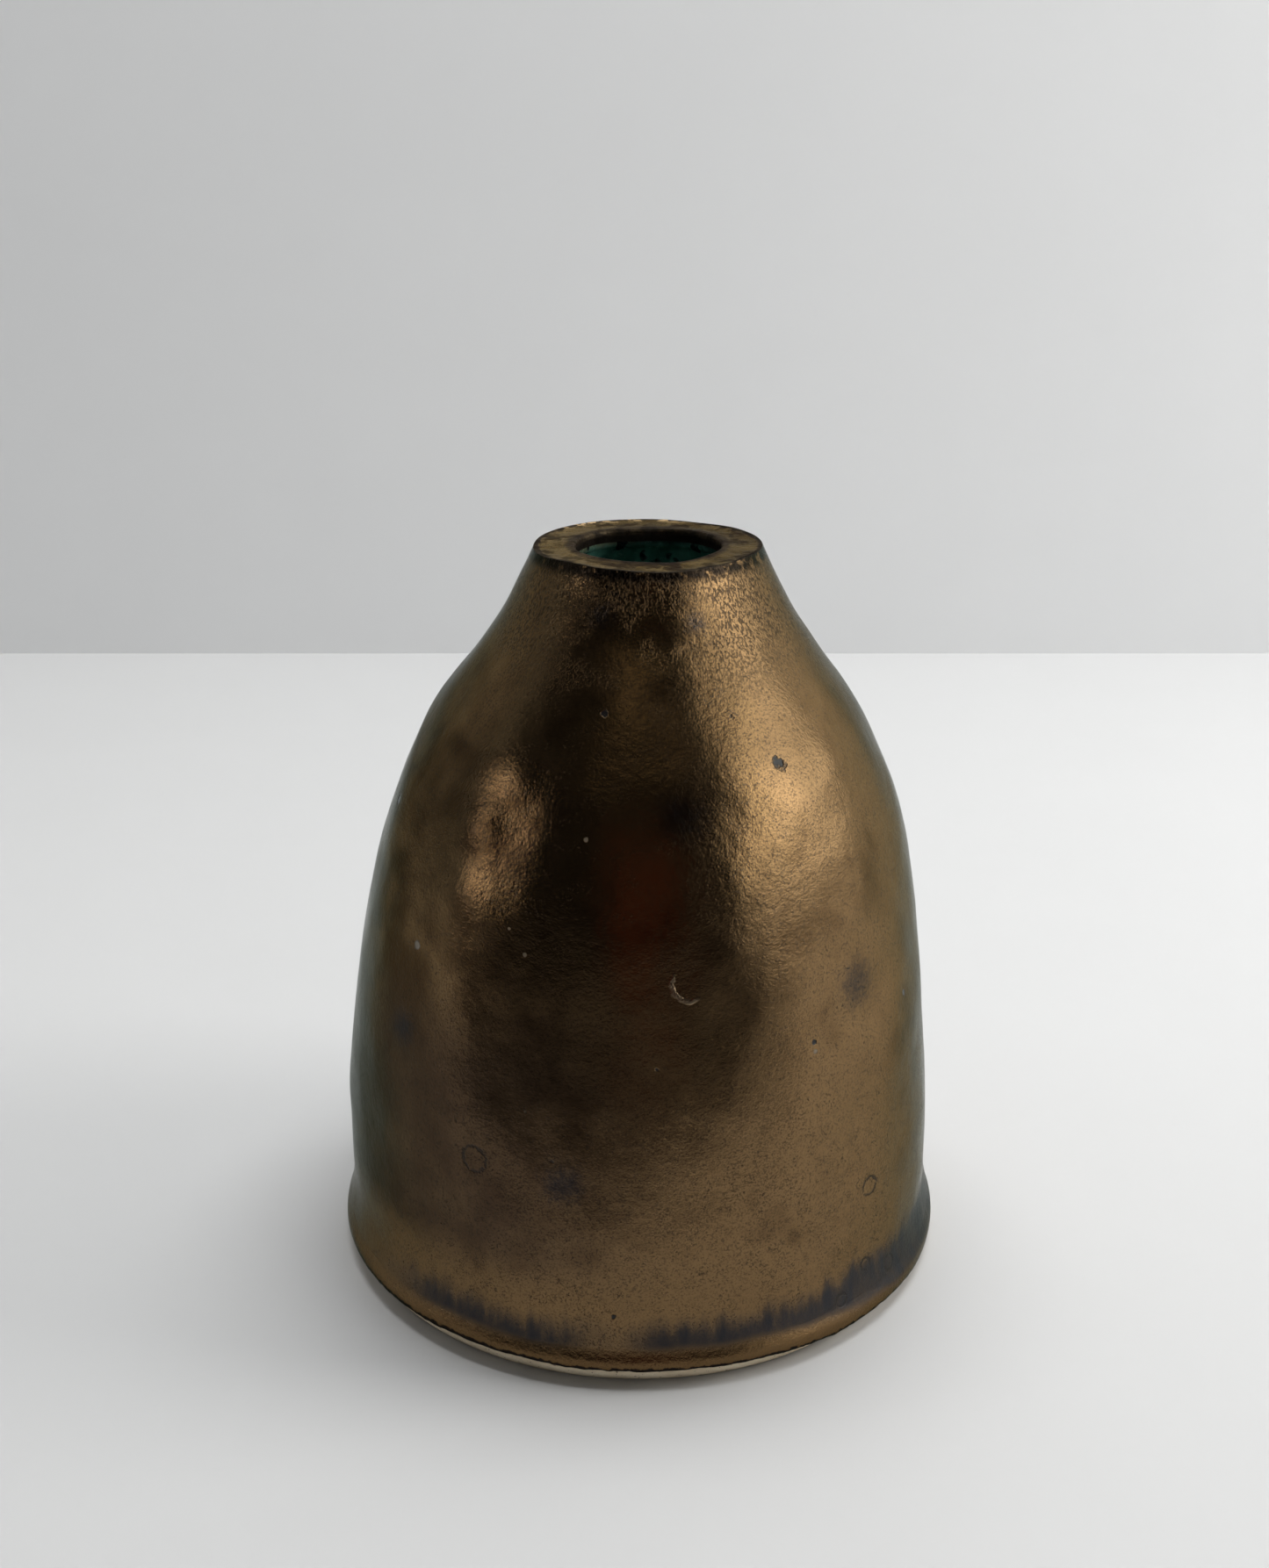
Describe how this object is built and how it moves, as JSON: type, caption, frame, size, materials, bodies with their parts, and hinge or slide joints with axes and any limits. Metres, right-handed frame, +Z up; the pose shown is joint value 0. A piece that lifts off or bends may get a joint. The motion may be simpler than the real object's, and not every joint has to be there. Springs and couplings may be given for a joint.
{
  "type": "bud vase",
  "caption": "Small bell-shaped ceramic bud vase with a flat lip, narrow mouth, flared foot and bare clay base edge.",
  "frame": {"origin": "centre of the foot ring, on the surface that the vase stands on", "axes": "+Z up along the vase's axis, out of the mouth; +X and +Y level, and alike because the vase is round"},
  "size_m": [0.0902, 0.0902, 0.105],
  "materials": {
    "bare_clay": "bare fired stoneware, matt and slightly gritty",
    "bronze_glaze": "satin metallic bronze glaze, speckled and streaked",
    "gold_glaze": "thick gold-brown glaze, satin",
    "lip_glaze": "olive bronze glaze, satin, worn at the edge",
    "green_glaze": "dark blue-green glaze, glossy"
  },
  "bodies": {
    "root": {"clay_floor": "bare_clay", "clay_wall": "bare_clay", "outer_glaze": "bronze_glaze", "glaze_roll": "gold_glaze", "lip_glaze": "lip_glaze", "inner_glaze": "green_glaze"}
  },
  "joints": []
}
